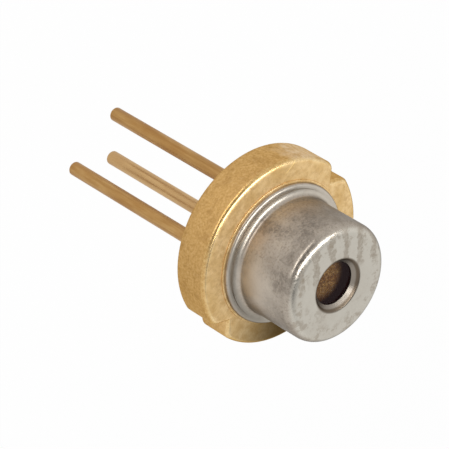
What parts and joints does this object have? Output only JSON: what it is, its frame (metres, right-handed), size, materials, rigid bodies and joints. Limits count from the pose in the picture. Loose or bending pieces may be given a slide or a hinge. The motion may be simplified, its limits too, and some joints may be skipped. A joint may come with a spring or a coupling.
{
  "type": "laser diode",
  "caption": "Laser diode in a small metal can: gold-plated round flange with edge notches, nickel-plated cap with a glass window at the front, and straight wire leads at the back.",
  "frame": {"origin": "centre of the flange's front face", "axes": "+Z is the direction of the light, out of the window; the leads point to -Z; the two sealed leads and the two V notches lie on X, with the laser's lead at +X; the case lead and the square index notch are on the -Y side"},
  "size_m": [0.0056, 0.0056, 0.0105],
  "materials": {
    "gold_plate": "satin gold plating over nickel-iron alloy, finely grained",
    "lead_gold": "satin gold plating over drawn nickel-iron wire",
    "post_gold": "gold plating over copper",
    "braze": "gold-plated braze metal",
    "nickel_cap": "satin nickel plating with light stains",
    "window_glass": "polished glass with a faint purple anti-reflection film",
    "seal_glass": "fused dark glass",
    "frit_glass": "dull solder glass",
    "aln_ceramic": "matt metallised ceramic",
    "laser_die": "polished semiconductor",
    "monitor_die": "polished semiconductor",
    "bond_wire": "bright gold wire"
  },
  "bodies": {
    "root": {"stem": "gold_plate", "heat_sink": "post_gold", "submount": "aln_ceramic", "laser_chip": "laser_die", "monitor_chip": "monitor_die", "seal_laser": "seal_glass", "seal_monitor": "seal_glass", "lead_laser": "lead_gold", "lead_monitor": "lead_gold", "lead_case": "lead_gold", "case_braze": "braze", "cap": "nickel_cap", "window": "window_glass", "window_frit": "frit_glass", "wire_laser": "bond_wire", "wire_chip": "bond_wire", "wire_monitor": "bond_wire"}
  },
  "joints": []
}
